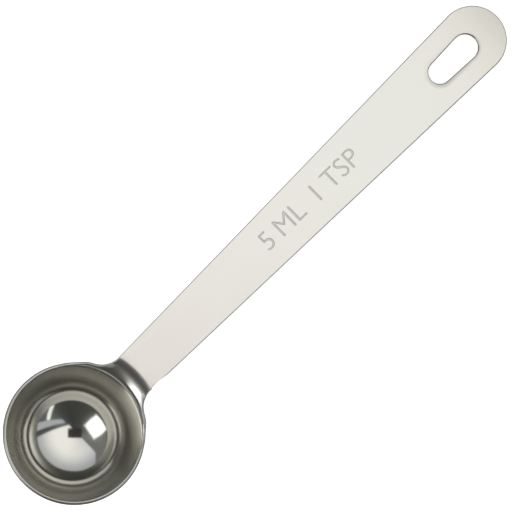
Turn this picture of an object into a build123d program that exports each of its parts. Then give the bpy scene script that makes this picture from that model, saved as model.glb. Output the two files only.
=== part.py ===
from build123d import *

import os
from math import asin, atan2, cos, degrees, hypot, radians, sin, tan

# Measuring spoon of 5 ml, pressed from one blank of stainless steel sheet.
# It is drawn level, with the bowl's axis upright, on a plane that leans the way
# the spoon lies on a table: on the bottom of the bowl and the tip of the handle.
# All sizes are in millimetres and degrees.

# sheet
sheet = 0.75
edge_round_share = 0.35
rim_round_share = 0.16

# bowl, measured on its inside, with how far the centre of the wall's curve is from the axis
mouth_radius = 13.94
wall_draft = 21
wall_length = 6.95
curve_centre_radius = 2.30026
dome_half_angle = 30

# handle, measured from the bowl's axis and from the plane of the rim
handle_rise = 1.8
handle_reach = 122.2
handle_end_radius = 7.05
handle_root_half_width = 4.29
bend_radius = 1.9
ease_radius = 8.0
ease_angle = 25
neck_fillet_radius = 5.1

# hanging slot
slot_near_radius = 2.37
slot_far_radius = 2.69
slot_length = 12.4
slot_edge_gap = 6.55

# trimming of the rim, and where it climbs into the neck
rim_trim = 0.1
rim_climb_setback = 7.1
rim_climb_radius = 13.4

# allowance that every cutting tool runs past the metal
overrun = 2.0

edge_round = sheet * edge_round_share
rim_round = sheet * rim_round_share

# Inside of the bowl in section: wall, curve and dome, all tangent.
draft_sin = sin(radians(wall_draft))
draft_cos = cos(radians(wall_draft))
draft_tan = tan(radians(wall_draft))
wall_foot_radius = mouth_radius - wall_length * draft_sin
wall_foot_height = -wall_length * draft_cos
wall_curve_radius = (wall_foot_radius - curve_centre_radius) / draft_cos
curve_centre_height = wall_foot_height + wall_curve_radius * draft_sin
dome_radius = wall_curve_radius + curve_centre_radius / sin(radians(dome_half_angle))
dome_centre_height = curve_centre_height + curve_centre_radius / tan(radians(dome_half_angle))

# Bend from the wall, which eases into the handle on a wider arc with its centre under the flat's end.
ease_sin = sin(radians(ease_angle))
ease_cos = cos(radians(ease_angle))
ease_centre_height = handle_rise - ease_radius
bend_centre_height = ease_centre_height + (ease_radius - bend_radius) * ease_cos
bend_foot_height = bend_centre_height + bend_radius * draft_sin
bend_centre_radius = mouth_radius + bend_foot_height * draft_tan + bend_radius * draft_cos
ease_centre_radius = bend_centre_radius + (ease_radius - bend_radius) * ease_sin

# Outside of the rim: the blank's edge, trimmed a little inside the wall's outer face.
rim_radius = mouth_radius + sheet / draft_cos - rim_trim

# Lean at rest: the table touches the dome's outside and the round under the handle's tip.
tip_run = handle_reach - edge_round
tip_height = handle_rise - sheet + edge_round - dome_centre_height
drop_angle = asin((dome_radius + sheet - edge_round) / hypot(tip_run, tip_height))
lean = degrees(drop_angle + atan2(tip_height, tip_run))
lean_sin = sin(radians(lean))
lean_cos = cos(radians(lean))

# The origin is on the table, under the middle of the spoon's length.
bowl_axis_x = ((rim_radius - handle_reach) * lean_cos - handle_rise * lean_sin) / 2
rim_height = dome_radius + sheet - dome_centre_height * lean_cos
spoon_plane = Plane(
    origin=(bowl_axis_x, 0, rim_height),
    x_dir=(lean_cos, 0, -lean_sin),
    z_dir=(lean_sin, 0, lean_cos),
)
bowl_axis = Axis(spoon_plane.origin, spoon_plane.z_dir)
section_plane = Plane(origin=spoon_plane.origin, x_dir=spoon_plane.x_dir, z_dir=(0, -1, 0))

# Plan of the handle: straight edges that widen to a round end. Drawn on toward the bowl,
# they are the root's width apart where they pass the bowl's axis.
end_centre = handle_reach - handle_end_radius
root_distance = hypot(end_centre, handle_root_half_width)
taper = degrees(asin(handle_end_radius / root_distance) - atan2(handle_root_half_width, end_centre))

# Cutter that grinds the rim: it stops short of the neck, and is as high as it needs.
rim_climb_start = mouth_radius - rim_climb_setback
cutter_top = handle_rise + rim_climb_radius + overrun

# Plan of the hanging slot: two round ends and the lines that touch both.
slot_far_centre = handle_reach - slot_edge_gap - slot_far_radius
slot_near_centre = slot_far_centre + slot_far_radius - slot_length + slot_near_radius
slot_angle = degrees(asin((slot_far_radius - slot_near_radius) / (slot_far_centre - slot_near_centre)))

with BuildPart() as pressed_spoon:
    # Section of the sheet, from the middle of the dome out past the handle's tip.
    with BuildSketch(section_plane):
        with BuildLine():
            CenterArc((0, dome_centre_height), dome_radius, -90, dome_half_angle)
            curve = CenterArc(
                (curve_centre_radius, curve_centre_height),
                wall_curve_radius,
                dome_half_angle - 90,
                90 - dome_half_angle - wall_draft,
            )
            bend = CenterArc(
                (bend_centre_radius, bend_centre_height),
                bend_radius,
                90 + ease_angle,
                90 - ease_angle - wall_draft,
            )
            ease = CenterArc((ease_centre_radius, ease_centre_height), ease_radius, 90, ease_angle)
            Line(curve @ 1, bend @ 1)
            Line(ease @ 0, (handle_reach + overrun, handle_rise))
            offset(amount=sheet, side=Side.RIGHT)
        make_face()
    revolve(axis=bowl_axis)

    # Plan of the blank: the rim's circle, the neck and the handle's round end.
    with BuildSketch(spoon_plane) as plan:
        Circle(rim_radius)
        with BuildLine():
            tip = CenterArc((end_centre, 0), handle_end_radius, -90 - taper, 180 + 2 * taper)
            Polyline(tip @ 1, (0, handle_root_half_width), (0, -handle_root_half_width), tip @ 0)
        make_face()
        fillet(plan.vertices().group_by(Axis.X)[0], neck_fillet_radius)
    extrude(amount=dome_radius, both=True, mode=Mode.INTERSECT)

    # The blank's two long outlines are rounded while they still run round without a corner.
    long_edges = pressed_spoon.edges().filter_by(GeomType.LINE).sort_by(SortBy.LENGTH)[-4:]
    fillet(long_edges, edge_round)

    # The rim is ground level, and climbs in an arc to the top of the neck.
    with BuildSketch(section_plane):
        with BuildLine():
            climb = CenterArc((rim_climb_start, rim_climb_radius), rim_climb_radius, -90, 90)
            Polyline(
                climb @ 1,
                (rim_climb_start + rim_climb_radius, cutter_top),
                (-rim_radius - overrun, cutter_top),
                (-rim_radius - overrun, 0),
                climb @ 0,
            )
        make_face()
    extrude(amount=rim_radius + overrun, both=True, mode=Mode.SUBTRACT)

    # The two edges of the ground rim are only broken.
    ground_rim = pressed_spoon.faces().filter_by(GeomType.PLANE).sort_by(bowl_axis)[0]
    fillet(ground_rim.edges().filter_by(GeomType.CIRCLE), rim_round)

    # Hanging slot, wider toward the tip.
    with BuildSketch(spoon_plane):
        with BuildLine():
            far_end = CenterArc((slot_far_centre, 0), slot_far_radius, -90 - slot_angle, 180 + 2 * slot_angle)
            near_end = CenterArc((slot_near_centre, 0), slot_near_radius, 90 + slot_angle, 180 - 2 * slot_angle)
            Line(far_end @ 1, near_end @ 0)
            Line(near_end @ 1, far_end @ 0)
        make_face()
    extrude(amount=handle_rise + overrun, mode=Mode.SUBTRACT)
    slot_edges = pressed_spoon.edges(Select.NEW).filter_by(bowl_axis, reverse=True)
    fillet(slot_edges, edge_round)
pressed_spoon.part.label = "pressed_spoon"
os.makedirs("parts", exist_ok=True)
export_step(pressed_spoon.part, "parts/pressed_spoon.step")
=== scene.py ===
import bpy
import bmesh
from math import acos, asin, atan2, cos, hypot, pi, radians, sin, sqrt, tan
from mathutils import Euler, Matrix, Vector


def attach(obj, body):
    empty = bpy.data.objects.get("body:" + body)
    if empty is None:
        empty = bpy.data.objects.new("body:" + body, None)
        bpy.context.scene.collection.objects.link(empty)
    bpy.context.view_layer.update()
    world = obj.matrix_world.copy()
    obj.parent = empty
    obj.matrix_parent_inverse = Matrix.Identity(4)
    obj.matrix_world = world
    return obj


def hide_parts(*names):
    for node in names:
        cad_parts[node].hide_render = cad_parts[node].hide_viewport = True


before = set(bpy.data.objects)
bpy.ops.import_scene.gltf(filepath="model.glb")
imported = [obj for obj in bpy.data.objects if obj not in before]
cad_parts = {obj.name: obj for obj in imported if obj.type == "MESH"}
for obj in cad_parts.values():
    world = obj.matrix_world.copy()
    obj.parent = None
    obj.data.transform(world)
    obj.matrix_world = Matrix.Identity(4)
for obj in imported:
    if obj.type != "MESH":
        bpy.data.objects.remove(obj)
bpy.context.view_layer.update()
mm = 0.001

# Camera: far above the table, so that the spoon shows almost without perspective.
# The handle points to the upper right of the picture, as in the photograph.
photo_width = 512
sensor_width = 36
focal_pixels = 17131
camera_distance = 3500 * mm
handle_angle = radians(44.66)
aim_point = Vector((-1.61 * mm, -0.29 * mm, 7.0 * mm))

camera_data = bpy.data.cameras.new("camera")
camera_data.sensor_width = sensor_width
camera_data.lens = focal_pixels / photo_width * sensor_width
camera = bpy.data.objects.new("camera", camera_data)
bpy.context.scene.collection.objects.link(camera)
camera.location = (0, 0, camera_distance)
camera.rotation_euler = (0, 0, -handle_angle)
camera.matrix_world = Matrix.Translation(aim_point) @ camera.matrix_basis
bpy.context.scene.camera = camera
bpy.context.scene.view_settings.view_transform = "Standard"

# Floor: a plain pale table top. It glows for the camera alone, so that it looks white in
# the picture and still takes the spoon's soft shadow.
floor_half_width = 6.0
floor_colour = (0.80, 0.80, 0.80, 1)
floor_glow = 0.7

floor_mesh = bpy.data.meshes.new("floor")
bm = bmesh.new()
bmesh.ops.create_grid(bm, x_segments=1, y_segments=1, size=floor_half_width)
bm.to_mesh(floor_mesh)
bm.free()
floor = bpy.data.objects.new("floor", floor_mesh)
bpy.context.scene.collection.objects.link(floor)

floor_finish = bpy.data.materials.new("white_table")
floor_finish.use_nodes = True
nodes = floor_finish.node_tree.nodes
links = floor_finish.node_tree.links
nodes.clear()
output = nodes.new("ShaderNodeOutputMaterial")
matt = nodes.new("ShaderNodeBsdfDiffuse")
matt.inputs["Color"].default_value = floor_colour
glow = nodes.new("ShaderNodeEmission")
path = nodes.new("ShaderNodeLightPath")
strength = nodes.new("ShaderNodeMath")
strength.operation = "MULTIPLY"
strength.inputs[1].default_value = floor_glow
matt_and_glow = nodes.new("ShaderNodeAddShader")
links.new(path.outputs["Is Camera Ray"], strength.inputs[0])
links.new(strength.outputs[0], glow.inputs["Strength"])
links.new(matt.outputs[0], matt_and_glow.inputs[0])
links.new(glow.outputs[0], matt_and_glow.inputs[1])
links.new(matt_and_glow.outputs[0], output.inputs["Surface"])
floor_mesh.materials.append(floor_finish)

# Studio: plain pale light from all round for the floor and its shadow. The steel mirrors a room
# with a large white panel over the handle, a grey one beside it, and dim walls.
plain_strength = 0.8
room_strength = 1.32
degree = radians(1)

# the panel fades round the room and down toward the table, and the walls change round the room
panel_stops = [
    (15, (1.0, 0.985, 0.95, 1)),
    (90, (0.74, 0.75, 0.76, 1)),
]
height_stops = [
    (0, (0.30, 0.32, 0.34, 1)),
    (22, (0.44, 0.46, 0.49, 1)),
    (34, (0.57, 0.59, 0.625, 1)),
    (43, (0.77, 0.79, 0.81, 1)),
    (54, (0.97, 0.97, 0.98, 1)),
    (65, (1.0, 1.0, 1.0, 1)),
]
wall_stops = [
    (-180, (0.075, 0.078, 0.075, 1)),
    (-150, (0.058, 0.06, 0.056, 1)),
    (-120, (0.046, 0.048, 0.046, 1)),
    (-100, (0.065, 0.068, 0.066, 1)),
    (-78, (0.13, 0.145, 0.145, 1)),
    (-50, (0.06, 0.065, 0.062, 1)),
    (80, (0.17, 0.17, 0.165, 1)),
    (118, (0.19, 0.19, 0.185, 1)),
    (138, (0.11, 0.11, 0.105, 1)),
    (180, (0.075, 0.078, 0.075, 1)),
]

# the softbox's glow on the ceiling, by the cosine of the angle from the softbox's middle
lamp_way = (-0.531, 0.282, 0.799)
halo_stops = [
    (0.90, (0.0, 0.0, 0.0, 1)),
    (0.955, (0.05, 0.053, 0.053, 1)),
    (0.98, (0.45, 0.46, 0.46, 1)),
]

# the panels' straight edges, each the normal of a plane through the spoon that holds the edge
grey_panel = (0.45, 0.475, 0.49, 1)
white_edges = ((0.496, 0.827, 0.265), (1.0, 0.0, 0.04), (0.818, -0.374, 0.436))
grey_edges = ((-0.592, -0.740, -0.318), (0.714, 0.595, 0.369), (1.0, 0.0, 0.02))
edge_softness = 0.012

world = bpy.data.worlds.new("studio")
bpy.context.scene.world = world
world.use_nodes = True
nodes = world.node_tree.nodes
links = world.node_tree.links
nodes.clear()
output = nodes.new("ShaderNodeOutputWorld")
place = nodes.new("ShaderNodeTexCoord")
axes = nodes.new("ShaderNodeSeparateXYZ")
links.new(place.outputs["Generated"], axes.inputs[0])


def ramp_of(value, unit, stops):
    """A colour that changes with a value, from stops that give the value in units and the colour."""
    low = stops[0][0]
    high = stops[-1][0]
    share = nodes.new("ShaderNodeMapRange")
    share.inputs["From Min"].default_value = low * unit
    share.inputs["From Max"].default_value = high * unit
    ramp = nodes.new("ShaderNodeValToRGB")
    ramp.color_ramp.elements[1].color = stops[-1][1]
    ramp.color_ramp.elements[0].color = stops[0][1]
    for at, colour in stops[1:-1]:
        ramp.color_ramp.elements.new((at - low) / (high - low)).color = colour
    links.new(value, share.inputs["Value"])
    links.new(share.outputs["Result"], ramp.inputs[0])
    return ramp.outputs["Color"]


def within(edges):
    """1 inside a panel's straight edges and 0 beyond them."""
    inside = None
    for edge in edges:
        side = nodes.new("ShaderNodeVectorMath")
        side.operation = "DOT_PRODUCT"
        side.inputs[1].default_value = edge
        soft = nodes.new("ShaderNodeMapRange")
        soft.inputs["From Min"].default_value = -edge_softness
        soft.inputs["From Max"].default_value = edge_softness
        links.new(place.outputs["Generated"], side.inputs[0])
        links.new(side.outputs["Value"], soft.inputs["Value"])
        if inside is None:
            inside = soft.outputs["Result"]
        else:
            least = nodes.new("ShaderNodeMath")
            least.operation = "MINIMUM"
            links.new(soft.outputs["Result"], least.inputs[0])
            links.new(inside, least.inputs[1])
            inside = least.outputs[0]
    return inside


def mix(kind, share, first, second):
    """Two colours mixed or multiplied; each of the three can be a value or another node's output."""
    node = nodes.new("ShaderNodeMix")
    node.data_type = "RGBA"
    node.blend_type = kind
    for name, given in (("Factor", share), ("A", first), ("B", second)):
        if isinstance(given, bpy.types.NodeSocket):
            links.new(given, node.inputs[name])
        else:
            node.inputs[name].default_value = given
    return node.outputs["Result"]


turn_round = nodes.new("ShaderNodeMath")
turn_round.operation = "ARCTAN2"
links.new(axes.outputs["Y"], turn_round.inputs[0])
links.new(axes.outputs["X"], turn_round.inputs[1])
turn_up = nodes.new("ShaderNodeMath")
turn_up.operation = "ARCSINE"
links.new(axes.outputs["Z"], turn_up.inputs[0])
near_lamp = nodes.new("ShaderNodeVectorMath")
near_lamp.operation = "DOT_PRODUCT"
near_lamp.inputs[1].default_value = lamp_way
links.new(place.outputs["Generated"], near_lamp.inputs[0])

panel_round = ramp_of(turn_round.outputs[0], degree, panel_stops)
panel = mix("MULTIPLY", 1, panel_round, ramp_of(turn_up.outputs[0], degree, height_stops))
walls = ramp_of(turn_round.outputs[0], degree, wall_stops)
halo = ramp_of(near_lamp.outputs["Value"], 1, halo_stops)
with_grey = mix("MIX", within(grey_edges), mix("ADD", 1, walls, halo), grey_panel)
room = mix("MIX", within(white_edges), with_grey, panel)
room_light = nodes.new("ShaderNodeBackground")
room_light.inputs["Strength"].default_value = room_strength
links.new(room, room_light.inputs["Color"])

# the plain light is white, and at full strength for the camera
plain_light = nodes.new("ShaderNodeBackground")
plain_light.inputs["Color"].default_value = (1, 1, 1, 1)
path = nodes.new("ShaderNodeLightPath")
plain = nodes.new("ShaderNodeMapRange")
plain.inputs["To Min"].default_value = plain_strength
plain.inputs["To Max"].default_value = 1
choose = nodes.new("ShaderNodeMixShader")
links.new(path.outputs["Is Camera Ray"], plain.inputs["Value"])
links.new(plain.outputs["Result"], plain_light.inputs["Strength"])
links.new(path.outputs["Is Glossy Ray"], choose.inputs[0])
links.new(plain_light.outputs[0], choose.inputs[1])
links.new(room_light.outputs[0], choose.inputs[2])
links.new(choose.outputs[0], output.inputs["Surface"])

# Lamps: a square softbox that the bowl mirrors at its right, and a strip lamp at its left. The
# softbox is two lamps in one place, and the larger and fainter one softens the other's edge.
lamp_distance = 1.2
bowl_middle = Vector((-53 * mm, 0, 10 * mm))

# name, bearing and angle from the top, turn about its own middle, length, width and power
lamps = (
    ("left_softbox", 152, 37, 21, 0.55, 0.53, 1.70),
    ("softbox_rim", 152, 37, 21, 0.67, 0.64, 1.06),
    ("strip_lamp", -85, 55, 30, 0.13, 0.52, 0.26),
)


def hang(thing, bearing, from_top, roll, distance):
    """Hangs a lamp or board over the bowl, facing it, at these angles in degrees."""
    bpy.context.scene.collection.objects.link(thing)
    turn = Euler((0, radians(from_top), radians(bearing)), "XYZ").to_matrix().to_4x4()
    away = Matrix.Translation((0, 0, distance))
    spun = Matrix.Rotation(radians(roll), 4, "Z")
    thing.matrix_world = Matrix.Translation(bowl_middle) @ turn @ away @ spun
    thing.visible_camera = False


for name, bearing, from_top, roll, length, width, power in lamps:
    lamp_data = bpy.data.lights.new(name, "AREA")
    lamp_data.shape = "RECTANGLE"
    lamp_data.size = length
    lamp_data.size_y = width
    lamp_data.energy = power
    hang(bpy.data.objects.new(name, lamp_data), bearing, from_top, roll, lamp_distance)

# Camera housing: the dark block that the middle of the bowl mirrors. It is a board in black
# cloth that hangs behind the camera, and isn't part of the object.
housing_length = 1.45
housing_width = 1.0
housing_roll = -45
behind_camera = 0.1
cloth_colour = (0.06, 0.054, 0.05, 1)
cloth_roughness = 0.9

housing_mesh = bpy.data.meshes.new("camera_housing")
bm = bmesh.new()
bmesh.ops.create_grid(bm, x_segments=1, y_segments=1, size=housing_width / 2)
bmesh.ops.scale(bm, vec=(housing_length / housing_width, 1, 1), verts=bm.verts[:])
bm.to_mesh(housing_mesh)
bm.free()
housing = bpy.data.objects.new("camera_housing", housing_mesh)
hang(housing, 0, 0, housing_roll, camera_distance + behind_camera)
housing_finish = bpy.data.materials.new("black_cloth")
housing_finish.use_nodes = True
housing_shader = housing_finish.node_tree.nodes["Principled BSDF"]
housing_shader.inputs["Base Color"].default_value = cloth_colour
housing_shader.inputs["Roughness"].default_value = cloth_roughness
housing_mesh.materials.append(housing_finish)

# Pressed spoon: one blank of 0.75 mm stainless steel, its bowl drawn and its neck bent in
# the press, the edge rounded in a barrel. Sizes are those of the solid, from the bowl's
# axis and the plane of the rim, and the mesh is the sheet's top, its underside and its edge.
sheet = 0.75 * mm
edge_round = 0.26 * mm
mouth_radius = 13.94 * mm
wall_draft = radians(21)
wall_length = 6.95 * mm
wall_curve_radius = 9.8 * mm
dome_half_angle = radians(30)
handle_rise = 1.8 * mm
handle_reach = 122.2 * mm
handle_end_radius = 7.05 * mm
handle_root_half_width = 4.29 * mm
bend_radius = 1.9 * mm
ease_radius = 8.0 * mm
ease_angle = radians(25)
neck_fillet_radius = 5.1 * mm
slot_near_radius = 2.37 * mm
slot_far_radius = 2.69 * mm
slot_length = 12.4 * mm
slot_edge_gap = 6.55 * mm
rim_trim = 0.1 * mm
rim_climb_setback = 7.1 * mm
rim_climb_radius = 13.4 * mm

# how finely the sheet is divided: along the section, round the bowl, round the flat and
# over its edge; points that are nearer together than the weld are one
dome_steps = 20
curve_steps = 20
wall_steps = 17
bend_steps = 9
ease_steps = 8
columns = 264
neck_columns = 12
fillet_steps = 6
side_steps = 40
end_steps = 48
slot_side_steps = 4
slot_end_steps = 28
round_steps = 5
weld = 0.002 * mm

# inside of the bowl in section: dome, curve, wall, and the bend into the handle
draft_sin = sin(wall_draft)
draft_cos = cos(wall_draft)
foot_radius = mouth_radius - wall_length * draft_sin
foot_height = -wall_length * draft_cos
curve_centre_radius = foot_radius - wall_curve_radius * draft_cos
curve_centre_height = foot_height + wall_curve_radius * draft_sin
curve_centre = Vector((curve_centre_radius, 0, curve_centre_height))
dome_radius = wall_curve_radius + curve_centre.x / sin(dome_half_angle)
dome_centre = Vector((0, 0, curve_centre.z + curve_centre.x / tan(dome_half_angle)))
bend_height = handle_rise - ease_radius + (ease_radius - bend_radius) * cos(ease_angle)
bend_foot_height = bend_height + bend_radius * draft_sin
bend_foot_radius = mouth_radius + bend_foot_height * tan(wall_draft)
bend_top_height = bend_height + bend_radius * cos(ease_angle)
bend_centre = Vector((bend_foot_radius + bend_radius * draft_cos, 0, bend_height))
ease_centre = bend_centre + Vector((sin(ease_angle), 0, -cos(ease_angle))) * (ease_radius - bend_radius)
rim_radius = mouth_radius + sheet / draft_cos - rim_trim

# the lean at rest, and the bowl's place over the table
tip_run = handle_reach - edge_round
tip_height = handle_rise - sheet + edge_round - dome_centre.z
lean = asin((dome_radius + sheet - edge_round) / hypot(tip_run, tip_height)) + atan2(tip_height, tip_run)
bowl_axis_x = ((rim_radius - handle_reach) * cos(lean) - handle_rise * sin(lean)) / 2
rim_height = dome_radius + sheet - dome_centre.z * cos(lean)
as_it_lies = Matrix.Translation((bowl_axis_x, 0, rim_height)) @ Matrix.Rotation(lean, 4, "Y")

# plan of the handle: straight sides that widen, a round end and round neck corners
end_centre = handle_reach - handle_end_radius
root_distance = hypot(end_centre, handle_root_half_width)
taper = asin(handle_end_radius / root_distance) - atan2(handle_root_half_width, end_centre)
along_side = Vector((cos(taper), sin(taper), 0))
off_side = Vector((-sin(taper), cos(taper), 0))
fillet_off = neck_fillet_radius + handle_root_half_width * cos(taper)
fillet_along = sqrt((rim_radius + neck_fillet_radius) ** 2 - fillet_off**2)
fillet_centre = off_side * fillet_off + along_side * fillet_along

# the flat ends where the edge's round begins, so its outline lies that much further in
fillet_reach = neck_fillet_radius + edge_round
end_reach = handle_end_radius - edge_round
fillet_end = fillet_centre - off_side * fillet_reach
side_end = Vector((end_centre, 0, 0)) + off_side * end_reach

# the corner where that outline meets the bend's end, and where the rim starts to climb
corner_turn = acos(
    (ease_centre.x**2 + fillet_centre.length_squared - fillet_reach**2)
    / (2 * ease_centre.x * fillet_centre.length)
)
corner_azimuth = atan2(fillet_centre.y, fillet_centre.x) - corner_turn
climb_start = mouth_radius - rim_climb_setback
climb_azimuth = acos(climb_start / mouth_radius)

# ways up the sheet from the foot of the wall: to the bend, the easing arc, the flat and the rim
wall_full = (bend_foot_height - foot_height) / draft_cos
bend_turn = pi / 2 - ease_angle - wall_draft
bend_full = wall_full + bend_radius * bend_turn
way_full = bend_full + ease_radius * ease_angle
rim_way = -foot_height / draft_cos - edge_round


def point_on_neck(way, azimuth):
    """A point of the inside, this far up the sheet from the foot of the wall."""
    if way <= wall_full:
        out = foot_radius + way * draft_sin
        up = foot_height + way * draft_cos
    elif way <= bend_full:
        turn = wall_draft + (way - wall_full) / bend_radius
        out = bend_centre.x - bend_radius * cos(turn)
        up = bend_centre.z + bend_radius * sin(turn)
    else:
        turn = pi / 2 - ease_angle + (way - bend_full) / ease_radius
        out = ease_centre.x - ease_radius * cos(turn)
        up = ease_centre.z + ease_radius * sin(turn)
    return Vector((out * cos(azimuth), out * sin(azimuth), up))


def inside_blank(point):
    """Whether a point of the neck lies inside the blank's outline and under the rim's climb."""
    if point.x <= climb_start:
        under = point.z <= -edge_round * draft_cos
    else:
        under = hypot(point.x - climb_start, point.z - rim_climb_radius) >= rim_climb_radius + edge_round
    if point.x * fillet_centre.y <= abs(point.y) * fillet_centre.x:
        return under and hypot(point.x, point.y) <= rim_radius - edge_round
    return under and hypot(point.x - fillet_centre.x, abs(point.y) - fillet_centre.y) >= fillet_reach


# the edge of the inside from the bend's corner down to the level rim, found by halving
edge_samples = 240
halvings = 30
climb = []
for i in range(edge_samples + 1):
    azimuth = corner_azimuth + (climb_azimuth - corner_azimuth) * i / edge_samples
    low = rim_way / 2
    high = way_full
    for _ in range(halvings):
        middle = (low + high) / 2
        if inside_blank(point_on_neck(middle, azimuth)):
            low = middle
        else:
            high = middle
    climb.append([azimuth, low])
climb[0][1] = way_full
climb[-1][1] = rim_way
lengths = [0]
for here, there in zip(climb, climb[1:]):
    step = (point_on_neck(there[1], there[0]) - point_on_neck(here[1], here[0])).length
    lengths.append(lengths[-1] + step)


def end_of_column(azimuth):
    """Where the column that starts at this azimuth ends: its azimuth and its way up the sheet."""
    column_turn = 2 * pi / columns
    nearly = column_turn / 4
    corner_column = neck_columns * column_turn
    last_column = int(climb_azimuth / column_turn) * column_turn
    if azimuth <= corner_column + nearly:
        return azimuth * corner_azimuth / corner_column, way_full
    if azimuth >= last_column - nearly:
        return azimuth, rim_way
    wanted = lengths[-1] * (azimuth - corner_column) / (last_column - corner_column)
    i = next(i for i in range(edge_samples) if lengths[i + 1] >= wanted)
    share = (wanted - lengths[i]) / (lengths[i + 1] - lengths[i])
    here = climb[i]
    there = climb[i + 1]
    return here[0] + (there[0] - here[0]) * share, here[1] + (there[1] - here[1]) * share


def way_of(point):
    """How far up the sheet from the foot of the wall a point of the section lies."""
    out = hypot(point.x, point.y)
    if point.z <= bend_foot_height:
        return (point.z - foot_height) / draft_cos
    if point.z <= bend_top_height:
        turn = atan2(point.z - bend_centre.z, bend_centre.x - out)
        return wall_full + (turn - wall_draft) * bend_radius
    turn = atan2(point.z - ease_centre.z, ease_centre.x - out)
    return bend_full + (turn + ease_angle - pi / 2) * ease_radius


def inward_normal(point):
    """The sheet's normal on its inside, exact for each stretch of the section."""
    out = hypot(point.x, point.y)
    if out < weld or point.z > handle_rise - weld:
        return Vector((0, 0, 1))
    outward = Vector((point.x / out, point.y / out, 0))
    from_dome = atan2(out, dome_centre.z - point.z)
    if point.z > bend_top_height:
        turn = atan2(point.z - ease_centre.z, ease_centre.x - out)
    elif point.z > bend_foot_height:
        turn = atan2(point.z - bend_centre.z, bend_centre.x - out)
    elif point.z > foot_height:
        turn = wall_draft
    elif from_dome < dome_half_angle:
        turn = pi / 2 - from_dome
    else:
        turn = atan2(curve_centre.z - point.z, out - curve_centre.x)
    return Vector((0, 0, 1)) * sin(turn) - outward * cos(turn)


def turn_on(bm, vert, centre, axis, angle, steps):
    """Draws an arc on from a vertex, and gives the arc's last vertex."""
    made = bmesh.ops.spin(bm, geom=[vert], cent=centre, axis=axis, angle=angle, steps=steps)
    return [item for item in made["geom_last"] if isinstance(item, bmesh.types.BMVert)][0]


def draw_on(bm, vert, end, steps):
    """Draws a straight line on from a vertex, and gives the line's last vertex."""
    start = vert.co.copy()
    for i in range(steps):
        made = bmesh.ops.extrude_vert_indiv(bm, verts=[vert])
        vert = made["verts"][0]
        vert.co = start.lerp(end, (i + 1) / steps)
    return vert


bm = bmesh.new()
across = (0, 1, 0)
upright = (0, 0, 1)

# section of the inside, turned round the bowl's axis
vert = bm.verts.new((0, 0, dome_centre.z - dome_radius))
vert = turn_on(bm, vert, dome_centre, across, -dome_half_angle, dome_steps)
vert = turn_on(bm, vert, curve_centre, across, -(pi / 2 - dome_half_angle - wall_draft), curve_steps)
vert = draw_on(bm, vert, point_on_neck(wall_full, 0), wall_steps)
vert = turn_on(bm, vert, bend_centre, across, bend_turn, bend_steps)
vert = turn_on(bm, vert, ease_centre, across, ease_angle, ease_steps)
section = bm.verts[:] + bm.edges[:]
bmesh.ops.spin(
    bm, geom=section, cent=(0, 0, 0), axis=upright, angle=2 * pi, steps=columns, use_merge=True
)
bmesh.ops.remove_doubles(bm, verts=bm.verts[:], dist=weld)

# the wall's upper part slides along the sheet to the edge of the blank
for vert in bm.verts:
    if vert.co.z > foot_height + weld:
        share = way_of(vert.co) / way_full
        azimuth = atan2(vert.co.y, vert.co.x)
        end_azimuth, end_way = end_of_column(abs(azimuth))
        azimuth_now = abs(azimuth) + (end_azimuth - abs(azimuth)) * share
        side = -1 if azimuth < 0 else 1
        vert.co = point_on_neck(end_way * share, side * azimuth_now)

# outline of the handle's flat, on from the bend line's corner and round to its other end
flat_level = handle_rise - weld
bend_line = [e for e in bm.edges if e.is_boundary and all(v.co.z > flat_level for v in e.verts)]
corner = max((v for e in bend_line for v in e.verts), key=lambda v: v.co.y)
level = Vector((0, 0, handle_rise))
from_centre = corner.co - fillet_centre
fillet_angle = atan2(-off_side.y, -off_side.x) - atan2(from_centre.y, from_centre.x)
vert = turn_on(bm, corner, fillet_centre + level, upright, fillet_angle, fillet_steps)
vert = draw_on(bm, vert, side_end + level, side_steps)
vert = turn_on(bm, vert, Vector((end_centre, 0, 0)) + level, upright, -(pi + 2 * taper), end_steps)
mirror_y = Vector((1, -1, 1))
vert = draw_on(bm, vert, fillet_end * mirror_y + level, side_steps)
vert = turn_on(bm, vert, fillet_centre * mirror_y + level, upright, fillet_angle, fillet_steps)

# outline of the hanging slot, wider toward the tip
slot_far = Vector((handle_reach - slot_edge_gap - slot_far_radius, 0, handle_rise))
slot_near = slot_far + Vector((slot_far_radius - slot_length + slot_near_radius, 0, 0))
slot_taper = asin((slot_far_radius - slot_near_radius) / (slot_far.x - slot_near.x))
slot_off = Vector((-sin(slot_taper), cos(slot_taper), 0))
far_reach = slot_far_radius + edge_round
near_reach = slot_near_radius + edge_round
vert = bm.verts.new(slot_near + slot_off * near_reach)
vert = draw_on(bm, vert, slot_far + slot_off * far_reach, slot_side_steps)
vert = turn_on(bm, vert, slot_far, upright, -(pi + 2 * slot_taper), slot_end_steps)
vert = draw_on(bm, vert, slot_near + slot_off * mirror_y * near_reach, slot_side_steps)
vert = turn_on(bm, vert, slot_near, upright, -(pi - 2 * slot_taper), slot_end_steps)
bmesh.ops.remove_doubles(bm, verts=bm.verts[:], dist=weld)
flat_edges = [e for e in bm.edges if len(e.link_faces) < 2 and all(v.co.z > flat_level for v in e.verts)]
bmesh.ops.triangle_fill(bm, use_beauty=True, edges=flat_edges, normal=upright)
bmesh.ops.recalc_face_normals(bm, faces=bm.faces[:])
middle_face = min(bm.faces, key=lambda f: f.calc_center_median().z)
if middle_face.normal.z < 0:
    bmesh.ops.reverse_faces(bm, faces=bm.faces[:])

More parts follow.
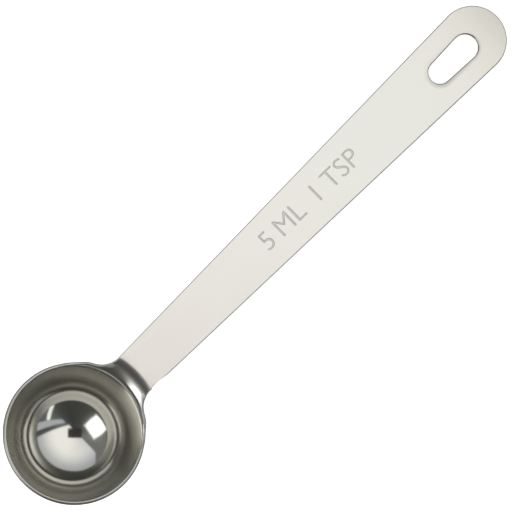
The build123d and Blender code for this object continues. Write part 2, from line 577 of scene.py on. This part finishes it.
# the underside lies a sheet's thickness under the top, square to it everywhere
top_edges = [e for e in bm.edges if e.is_boundary]
copied = bmesh.ops.duplicate(bm, geom=bm.verts[:] + bm.edges[:] + bm.faces[:])
under_faces = [item for item in copied["geom"] if isinstance(item, bmesh.types.BMFace)]
under_verts = [item for item in copied["geom"] if isinstance(item, bmesh.types.BMVert)]
for vert in under_verts:
    vert.co = vert.co - inward_normal(vert.co) * sheet
bmesh.ops.reverse_faces(bm, faces=under_faces)

# the edge: rounded over from the top, a narrow flat, and rounded under to the underside
round_turns = [pi / 2 * i / round_steps for i in range(1, round_steps + 1)]
edge_rows = [(sin(turn) * edge_round, (1 - cos(turn)) * edge_round) for turn in round_turns]
edge_rows += [(out, sheet - down) for out, down in reversed(edge_rows)]
edge_rows.append((0, sheet))

# at each vertex of the top's edge: its place, the sheet's normal and the way out of the sheet
base = {}
for vert in {v for e in top_edges for v in e.verts}:
    normal = inward_normal(vert.co)
    outward = Vector((0, 0, 0))
    for rim_edge in (e for e in vert.link_edges if e.is_boundary):
        face = rim_edge.link_faces[0]
        run = (rim_edge.verts[1].co - rim_edge.verts[0].co).normalized()
        away = run.cross(normal)
        middle = (rim_edge.verts[0].co + rim_edge.verts[1].co) / 2
        if away.dot(middle - face.calc_center_median()) < 0:
            away = -away
        outward += away
    base[vert] = (vert.co.copy(), normal, outward.normalized())
row_edges = top_edges
for out, down in edge_rows:
    made = bmesh.ops.extrude_edge_only(bm, edges=row_edges)["geom"]
    row_verts = [item for item in made if isinstance(item, bmesh.types.BMVert)]
    row_edges = [item for item in made if isinstance(item, bmesh.types.BMEdge)]
    next_base = {}
    for vert in row_verts:
        source = [e.other_vert(vert) for e in vert.link_edges if e.other_vert(vert) in base][0]
        next_base[vert] = base[source]
    for vert, (start, normal, outward) in next_base.items():
        vert.co = start + outward * out - normal * down
    base = next_base
bmesh.ops.remove_doubles(bm, verts=bm.verts[:], dist=weld)
bmesh.ops.recalc_face_normals(bm, faces=bm.faces[:])
bmesh.ops.transform(bm, matrix=as_it_lies, verts=bm.verts[:])
for face in bm.faces:
    face.smooth = True
plain_mesh = bpy.data.meshes.new("plain_spoon")
bm.to_mesh(plain_mesh)
bm.free()
spoon = bpy.data.objects.new("spoon", plain_mesh)
bpy.context.scene.collection.objects.link(spoon)

# Capacity mark on the handle: a plain number and unit in the spoon's own steel. It is pressed
# in as grooves with sloping sides, which are cut into the spoon's mesh.
mark_text = "5 ML  1 TSP"
mark_size = 5.8 * mm
letter_gap_share = 0.99
word_gap_share = 0.8
mark_curve_steps = 4
mark_half_height = 0.3 * mm
groove_slope = 0.10 * mm
groove_depth = 0.12 * mm
stroke_trim = 0.17 * mm
mark_along = 68.0 * mm
mark_across = 0.15 * mm
sharp_angle = radians(32)

mark_data = bpy.data.curves.new("capacity_mark", "FONT")
mark_data.body = mark_text
mark_data.size = mark_size
mark_data.space_character = letter_gap_share
mark_data.space_word = word_gap_share
mark_data.align_x = "CENTER"
mark_data.align_y = "CENTER"
mark_data.resolution_u = mark_curve_steps
mark_data.extrude = mark_half_height
mark_data.bevel_depth = groove_slope
mark_data.bevel_resolution = 0
mark_data.offset = -stroke_trim
mark = bpy.data.objects.new("capacity_mark", mark_data)
bpy.context.scene.collection.objects.link(mark)
bpy.context.view_layer.update()
mark_mesh = bpy.data.meshes.new_from_object(mark)
bpy.data.objects.remove(mark)
mark_up = handle_rise - groove_depth + groove_slope + mark_half_height
mark_mesh.transform(as_it_lies @ Matrix.Translation((mark_along, mark_across, mark_up)))
cutter = bpy.data.objects.new("mark_cutter", mark_mesh)
bpy.context.scene.collection.objects.link(cutter)
press = spoon.modifiers.new("press", "BOOLEAN")
press.operation = "DIFFERENCE"
press.solver = "EXACT"
press.object = cutter
pressed_spoon = spoon.evaluated_get(bpy.context.evaluated_depsgraph_get())
spoon_mesh = bpy.data.meshes.new_from_object(pressed_spoon)
spoon.modifiers.remove(press)
bpy.data.objects.remove(cutter)
spoon.data = spoon_mesh
spoon_mesh.set_sharp_from_angle(angle=sharp_angle)

# Steel of the spoon: the dome and the bend are polished bright, the wall is satin from the
# drawing and the handle has a fine lengthwise grain. The finish is laid out by the place on
# the spoon, from the bowl's axis and the plane of the rim.
steel = bpy.data.materials.new("drawn_steel")
steel.use_nodes = True
nodes = steel.node_tree.nodes
links = steel.node_tree.links
shader = nodes["Principled BSDF"]
shader.inputs["Metallic"].default_value = 1
place = nodes.new("ShaderNodeTexCoord")
to_plane = nodes.new("ShaderNodeMapping")
to_plane.vector_type = "TEXTURE"
to_plane.inputs["Location"].default_value = as_it_lies.to_translation()
to_plane.inputs["Rotation"].default_value = as_it_lies.to_euler()
axes = nodes.new("ShaderNodeSeparateXYZ")
links.new(place.outputs["Object"], to_plane.inputs[0])
links.new(to_plane.outputs[0], axes.inputs[0])


def grey_ramp(value, stops):
    """A share that changes with a length, from stops that give the length in mm and the share."""
    return ramp_of(value, mm, [(at, (grey, grey, grey, 1)) for at, grey in stops])


def streaks(stretch, detail):
    """Fine streaks between 0 and 1, from noise that is squeezed by this much each way."""
    squeeze = nodes.new("ShaderNodeVectorMath")
    squeeze.operation = "MULTIPLY"
    squeeze.inputs[1].default_value = stretch
    noise = nodes.new("ShaderNodeTexNoise")
    noise.inputs["Scale"].default_value = 1
    noise.inputs["Detail"].default_value = detail
    links.new(to_plane.outputs[0], squeeze.inputs[0])
    links.new(squeeze.outputs[0], noise.inputs["Vector"])
    return noise.outputs["Fac"]


def scaled(value, spread):
    """A 0 to 1 value spread between the two values given."""
    between = nodes.new("ShaderNodeMapRange")
    between.inputs["To Min"].default_value = spread[0]
    between.inputs["To Max"].default_value = spread[1]
    links.new(value, between.inputs["Value"])
    return between.outputs["Result"]


def combined(operation, first, second):
    """Two values multiplied, added or subtracted."""
    node = nodes.new("ShaderNodeMath")
    node.operation = operation
    links.new(first, node.inputs[0])
    links.new(second, node.inputs[1])
    return node.outputs[0]


def product(first, second):
    """Two values multiplied."""
    return combined("MULTIPLY", first, second)


def vector_of(along, sideways):
    """A vector with these two values and no height."""
    node = nodes.new("ShaderNodeCombineXYZ")
    links.new(along, node.inputs["X"])
    links.new(sideways, node.inputs["Y"])
    return node.outputs[0]


# colour and polish by height: dome, curve, wall, bend and the flat of the handle
tint_stops = [
    (-13.0, (0.62, 0.614, 0.58, 1)),
    (-9.5, (0.62, 0.614, 0.58, 1)),
    (-7.5, (0.545, 0.535, 0.49, 1)),
    (-0.8, (0.545, 0.535, 0.49, 1)),
    (0.5, (0.60, 0.59, 0.565, 1)),
    (1.4, (0.62, 0.61, 0.585, 1)),
    (1.78, (0.675, 0.665, 0.65, 1)),
]
polish_stops = [
    (-13.0, 0.10),
    (-10.6, 0.10),
    (-9.9, 0.13),
    (-9.0, 0.14),
    (-7.6, 0.23),
    (-6.5, 0.26),
    (-0.9, 0.25),
    (-0.1, 0.12),
    (1.1, 0.11),
    (1.5, 0.19),
    (1.78, 0.14),
]
along = axes.outputs["X"]
sideways = axes.outputs["Y"]
up = axes.outputs["Z"]
tint = ramp_of(up, mm, tint_stops)
polish = grey_ramp(up, polish_stops)

# lengthwise grain on the handle, drawing rings up the wall, and faint clouding all over
on_handle_stops = [(1.0, 0), (1.4, 1)]
on_wall_stops = [(-9.5, 0), (-7.5, 1), (-0.6, 1), (0.0, 0)]
grain_stretch = (70, 3400, 500)
ring_stretch = (25, 25, 2300)
cloud_stretch = (60, 110, 90)
fine_detail = 3
cloud_detail = 2
cloud_polish = (0.86, 1.14)
cloud_tint = (0.985, 1.012)
grain_polish = (1.0, 1.25)
grain = streaks(grain_stretch, fine_detail)
rings = streaks(ring_stretch, fine_detail)
clouds = streaks(cloud_stretch, cloud_detail)
on_handle = grey_ramp(up, on_handle_stops)
on_wall = grey_ramp(up, on_wall_stops)
handle_grain = product(grain, on_handle)
cloudy = product(polish, scaled(clouds, cloud_polish))
uneven = product(cloudy, scaled(handle_grain, grain_polish))
clouded = mix("MULTIPLY", 1, tint, scaled(clouds, cloud_tint))

# the handle greys toward its tip
length_stops = [
    (16, (1.0, 0.985, 0.965, 1)),
    (55, (0.99, 0.995, 0.985, 1)),
    (88, (0.965, 0.985, 0.965, 1)),
    (108, (0.935, 0.945, 0.925, 1)),
    (116, (0.88, 0.88, 0.845, 1)),
    (122, (0.74, 0.74, 0.71, 1)),
]
toned = mix("MULTIPLY", on_handle, clouded, ramp_of(along, mm, length_stops))

# the handle's rounded edges and the mark's grooves are duller, and painted shade darkens the edges
# and the slopes of the grooves
past_neck_stops = [(19, 0), (24, 1)]
past_mark_stops = [(90, 0), (95, 1)]
off_mark_stops = [(2.7, 0), (3.2, 1)]
under_top_stops = [(1.70, 1), (1.785, 0)]
off_floor_stops = [(1.685, 0), (1.70, 1)]
across_handle = nodes.new("ShaderNodeMath")
across_handle.operation = "ABSOLUTE"
links.new(sideways, across_handle.inputs[0])
dull_and_shaded = product(grey_ramp(along, past_neck_stops), grey_ramp(up, under_top_stops))
off_mark = grey_ramp(across_handle.outputs[0], off_mark_stops)
beside_mark = mix("LIGHTEN", 1, grey_ramp(along, past_mark_stops), off_mark)
on_slopes = product(dull_and_shaded, grey_ramp(up, off_floor_stops))
edge_and_groove_shade = mix("LIGHTEN", 1, product(dull_and_shaded, beside_mark), on_slopes)

# the ground rim is matt toward its outside, and painted shade darkens it there
rim_stops = [(14.00, 0), (14.14, 0.45), (14.32, 0.60), (14.44, 1)]
under_rim_stops = [(-0.01, 1), (0.03, 0)]
from_axis = nodes.new("ShaderNodeVectorMath")
from_axis.operation = "LENGTH"
links.new(vector_of(along, sideways), from_axis.inputs[0])
outermost = grey_ramp(from_axis.outputs["Value"], rim_stops)
rim_edge = product(outermost, grey_ramp(up, under_rim_stops))

# painted shade darkens the neck's two corners and dims the highlight there, and they are matt there too
corner_stops = [(5.2, 0.65), (5.6, 0.5), (6.3, 0)]
bend_stops = [(-0.3, 0), (0.3, 1), (1.35, 1), (1.6, 0)]
from_corner = nodes.new("ShaderNodeVectorMath")
from_corner.operation = "DISTANCE"
from_corner.inputs[1].default_value = fillet_centre
links.new(vector_of(along, across_handle.outputs[0]), from_corner.inputs[0])
near_corner = grey_ramp(from_corner.outputs["Value"], corner_stops)
matt_and_shaded_rim_corners = mix("LIGHTEN", 1, rim_edge, product(near_corner, grey_ramp(up, bend_stops)))

# painted shade darkens the steel round the slot, more on one side than on the other
slot_stops = [
    (2.6, (0.62, 0.62, 0.61, 1)),
    (2.95, (0.78, 0.78, 0.77, 1)),
    (3.5, (1, 1, 1, 1)),
]
side_stops = [(-2.2, 1), (1.6, 0.25)]
slot_part = nodes.new("ShaderNodeClamp")
slot_part.inputs["Min"].default_value = slot_near.x
slot_part.inputs["Max"].default_value = slot_far.x
links.new(along, slot_part.inputs["Value"])
past_slot = combined("SUBTRACT", along, slot_part.outputs[0])
from_slot = nodes.new("ShaderNodeVectorMath")
from_slot.operation = "LENGTH"
links.new(vector_of(past_slot, sideways), from_slot.inputs[0])
slot_shade_tint = ramp_of(from_slot.outputs["Value"], mm, slot_stops)
# the colour with the slot's painted shade, stronger on one side
drawn = mix("MULTIPLY", grey_ramp(sideways, side_stops), toned, slot_shade_tint)

# all of it together, with the grain and the rings raised a few thousandths of a millimetre
# painted shade: the duller edges and grooves are a little darker, and the edges, the groove slopes, the
# rim's outside and the neck's corners are darkened to half
edge_shade_tint = (0.97, 0.97, 0.97, 1)
painted_shade_tint = (0.50, 0.50, 0.50, 1)
dull_polish = (1.0, 1.3)
rim_corner_polish = (1.0, 4.0)
grain_height = 0.003 * mm
dimmed = mix("MULTIPLY", dull_and_shaded, drawn, edge_shade_tint)
shaded_colour = mix("MULTIPLY", mix("LIGHTEN", 1, edge_and_groove_shade, matt_and_shaded_rim_corners), dimmed, painted_shade_tint)
duller = product(scaled(dull_and_shaded, dull_polish), scaled(matt_and_shaded_rim_corners, rim_corner_polish))
bump = nodes.new("ShaderNodeBump")
bump.inputs["Distance"].default_value = grain_height
links.new(combined("ADD", handle_grain, product(rings, on_wall)), bump.inputs["Height"])
links.new(shaded_colour, shader.inputs["Base Color"])
links.new(product(uneven, duller), shader.inputs["Roughness"])
links.new(bump.outputs["Normal"], shader.inputs["Normal"])
spoon_mesh.materials.append(steel)
even_shading = spoon.modifiers.new("even_shading", "WEIGHTED_NORMAL")
even_shading.keep_sharp = True
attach(spoon, "root")
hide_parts("pressed_spoon")
